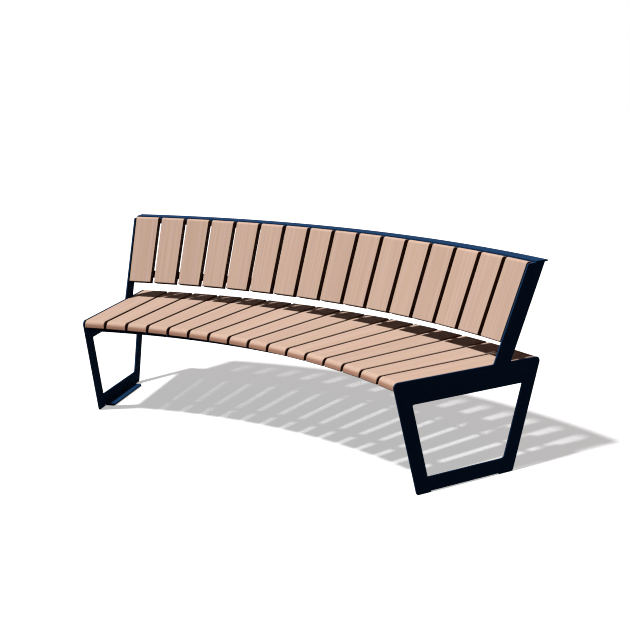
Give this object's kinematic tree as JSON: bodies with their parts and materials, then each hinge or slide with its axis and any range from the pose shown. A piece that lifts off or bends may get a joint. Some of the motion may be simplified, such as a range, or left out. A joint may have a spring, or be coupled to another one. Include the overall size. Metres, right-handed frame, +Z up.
{
  "type": "curved bench",
  "caption": "Curved outdoor bench with tapered timber seat and back slats fanned between flat-cut dark steel end frames, tied by rolled steel rails.",
  "frame": {"origin": "on the floor, at the middle of the bench's box seen from above", "axes": "+Z up, +X along the bench to the sitter's left, -Y the way the sitter faces, towards the ring's middle"},
  "size_m": [2.1626, 0.872, 0.829],
  "materials": {
    "steel": "satin powder coat, deep blue-black",
    "timber": "oiled, fine straight grain"
  },
  "bodies": {
    "root": {"end_frame_left": "steel", "end_frame_right": "steel", "foot_plate_left": "steel", "foot_plate_right": "steel", "back_cap": "steel", "back_upper_rail": "steel", "back_lower_rail": "steel", "seat_front_rail": "steel", "seat_rear_rail": "steel", "seat_slat_01": "timber", "seat_slat_02": "timber", "seat_slat_03": "timber", "seat_slat_04": "timber", "seat_slat_05": "timber", "seat_slat_06": "timber", "seat_slat_07": "timber", "seat_slat_08": "timber", "seat_slat_09": "timber", "seat_slat_10": "timber", "seat_slat_11": "timber", "seat_slat_12": "timber", "seat_slat_13": "timber", "seat_slat_14": "timber", "seat_slat_15": "timber", "seat_slat_16": "timber", "back_slat_01": "timber", "back_slat_02": "timber", "back_slat_03": "timber", "back_slat_04": "timber", "back_slat_05": "timber", "back_slat_06": "timber", "back_slat_07": "timber", "back_slat_08": "timber", "back_slat_09": "timber", "back_slat_10": "timber", "back_slat_11": "timber", "back_slat_12": "timber", "back_slat_13": "timber", "back_slat_14": "timber", "back_slat_15": "timber", "back_slat_16": "timber"}
  },
  "joints": []
}
